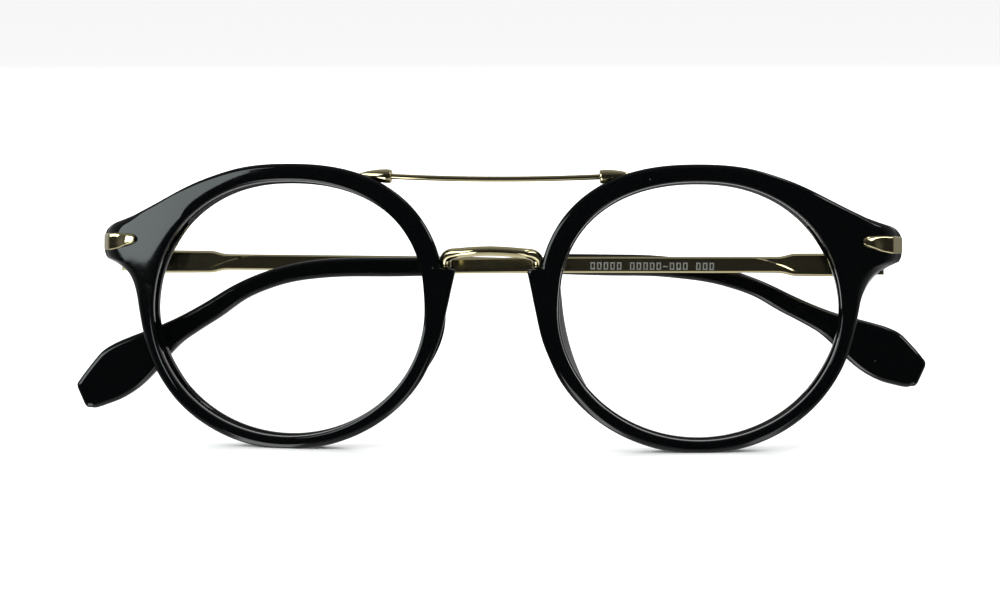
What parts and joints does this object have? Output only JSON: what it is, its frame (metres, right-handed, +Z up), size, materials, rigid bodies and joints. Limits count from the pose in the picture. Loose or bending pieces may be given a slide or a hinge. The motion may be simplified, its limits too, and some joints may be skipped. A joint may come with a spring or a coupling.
{
  "type": "round eyeglasses",
  "caption": "Round-eye spectacles with glossy black acetate rims, clear lenses, a gold metal bridge and brow bar, and folding gold temples with black acetate tips.",
  "frame": {"origin": "on the surface the rims stand on, under the middle of the folded spectacles' box", "axes": "+X to the wearer's left, +Y from the front of the lenses towards the wearer, +Z up; temples folded at rest"},
  "size_m": [0.1463, 0.0251, 0.0474],
  "materials": {
    "black_acetate": "tumbled and polished black acetate",
    "pale_gold": "polished pale gold plating",
    "hinge_metal": "satin pale gold plating",
    "screw_metal": "turned, pale gold plating",
    "clear_lens": "clear polished demonstration lens"
  },
  "bodies": {
    "front": {"bridge": "pale_gold", "brow_bar": "pale_gold", "brow_ferrule_left": "pale_gold", "endpiece_plaque_left": "pale_gold", "front_hinge_left": "hinge_metal", "hinge_screw_left": "screw_metal", "lens_left": "clear_lens", "nose_pad_left": "black_acetate", "rim_left": "black_acetate", "brow_ferrule_right": "pale_gold", "endpiece_plaque_right": "pale_gold", "front_hinge_right": "hinge_metal", "hinge_screw_right": "screw_metal", "lens_right": "clear_lens", "nose_pad_right": "black_acetate", "rim_right": "black_acetate"},
    "temple_left": {"temple_hinge_left": "hinge_metal", "temple_shaft_left": "pale_gold", "temple_tip_left": "black_acetate"},
    "temple_right": {"temple_hinge_right": "hinge_metal", "temple_shaft_right": "pale_gold", "temple_tip_right": "black_acetate"}
  },
  "joints": [
    {"name": "temple_left_hinge", "type": "hinge", "parent": "front", "child": "temple_left", "pos_m": [0.0642, 0.00565, 0.02929], "axis": [0, -0.1045, -0.9945], "range_deg": [0, 91.9]},
    {"name": "temple_right_hinge", "type": "hinge", "parent": "front", "child": "temple_right", "pos_m": [-0.0642, 0.00565, 0.02929], "axis": [0, 0.1045, 0.9945], "range_deg": [0, 88.5]}
  ]
}
